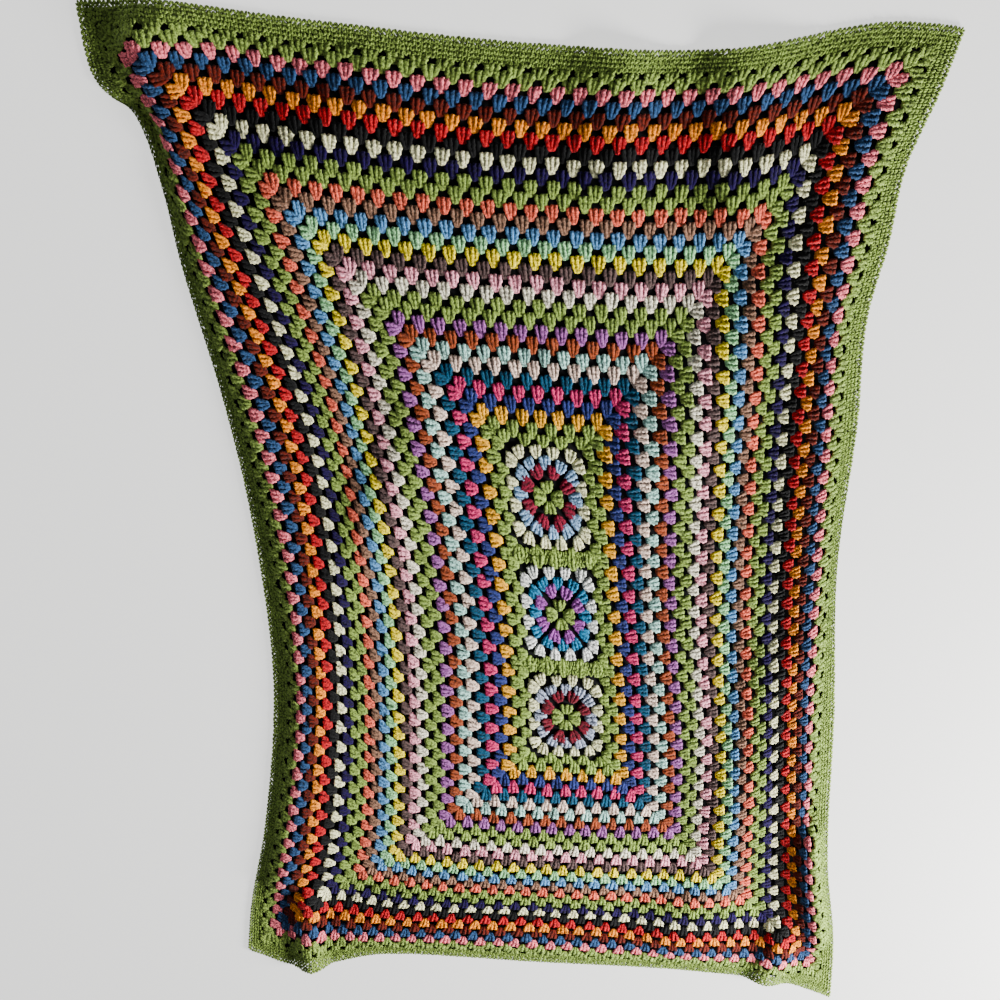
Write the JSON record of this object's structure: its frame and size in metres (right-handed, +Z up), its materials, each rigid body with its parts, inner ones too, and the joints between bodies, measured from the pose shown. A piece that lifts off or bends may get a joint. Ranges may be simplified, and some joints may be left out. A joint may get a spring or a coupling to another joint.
{
  "type": "granny square blanket",
  "caption": "Crocheted granny square blanket laid out flat: joined centre squares, concentric rounds of striped clusters and a plain edging, with soft folds at its borders.",
  "frame": {"origin": "on the surface it lies on, under the middle of the laid blanket's outline", "axes": "+Z up, +Y towards the blanket's upper edge, +X to the right seen from above"},
  "size_m": [0.83, 1.2301, 0.0255],
  "materials": {
    "square_yarn": "soft acrylic double knitting yarn, crocheted",
    "panel_yarn": "soft acrylic double knitting yarn in many colours, crocheted",
    "edging_yarn": "soft green acrylic double knitting yarn, crocheted"
  },
  "bodies": {
    "root": {"square_upper": "square_yarn", "square_middle": "square_yarn", "square_lower": "square_yarn", "rounds_panel": "panel_yarn", "edging": "edging_yarn"}
  },
  "joints": []
}
